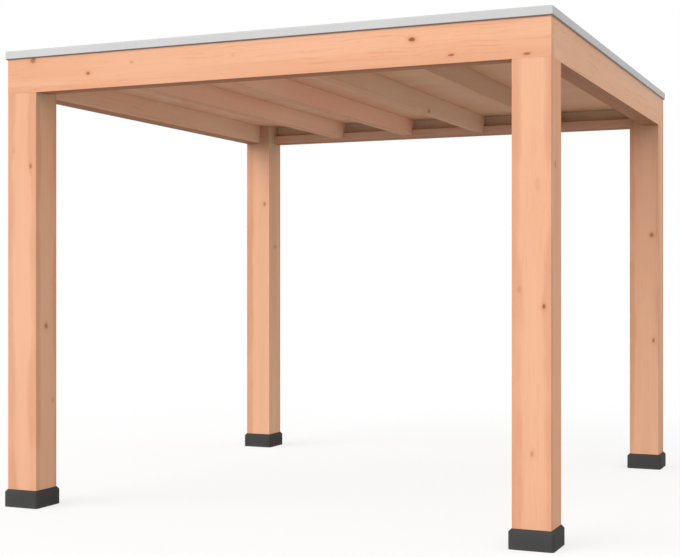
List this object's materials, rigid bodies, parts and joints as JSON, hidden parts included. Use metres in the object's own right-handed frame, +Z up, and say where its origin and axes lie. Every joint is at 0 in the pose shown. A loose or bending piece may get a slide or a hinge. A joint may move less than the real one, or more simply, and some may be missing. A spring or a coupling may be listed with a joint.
{
  "type": "wooden patio cover",
  "caption": "Open timber patio cover with square posts in dark shoes, a ring beam, rafters on ledgers and a flat roof with a light grey edge trim.",
  "frame": {"origin": "on the ground, at the middle of the four posts", "axes": "+Z up, -Y to the front of the picture, +X to the right seen from the front"},
  "size_m": [3.0306, 3.0306, 2.469],
  "materials": {
    "post_timber": "planed, untreated",
    "beam_timber": "planed, untreated",
    "rafter_timber": "planed, untreated",
    "roof_deck": "sanded sheets",
    "roof_membrane": "matt",
    "roof_trim": "satin",
    "shoe": "matt"
  },
  "bodies": {
    "root": {"post_front_left": "post_timber", "post_front_right": "post_timber", "post_back_left": "post_timber", "post_back_right": "post_timber", "shoe_front_left": "shoe", "shoe_front_right": "shoe", "shoe_back_left": "shoe", "shoe_back_right": "shoe", "front_beam": "beam_timber", "back_beam": "beam_timber", "left_beam": "beam_timber", "right_beam": "beam_timber", "front_ledger": "beam_timber", "back_ledger": "beam_timber", "left_edge_rafter": "beam_timber", "right_edge_rafter": "beam_timber", "rafter_1": "rafter_timber", "rafter_2": "rafter_timber", "rafter_3": "rafter_timber", "rafter_4": "rafter_timber", "roof_deck": "roof_deck", "roof_membrane": "roof_membrane", "front_trim": "roof_trim", "back_trim": "roof_trim", "left_trim": "roof_trim", "right_trim": "roof_trim"}
  },
  "joints": []
}
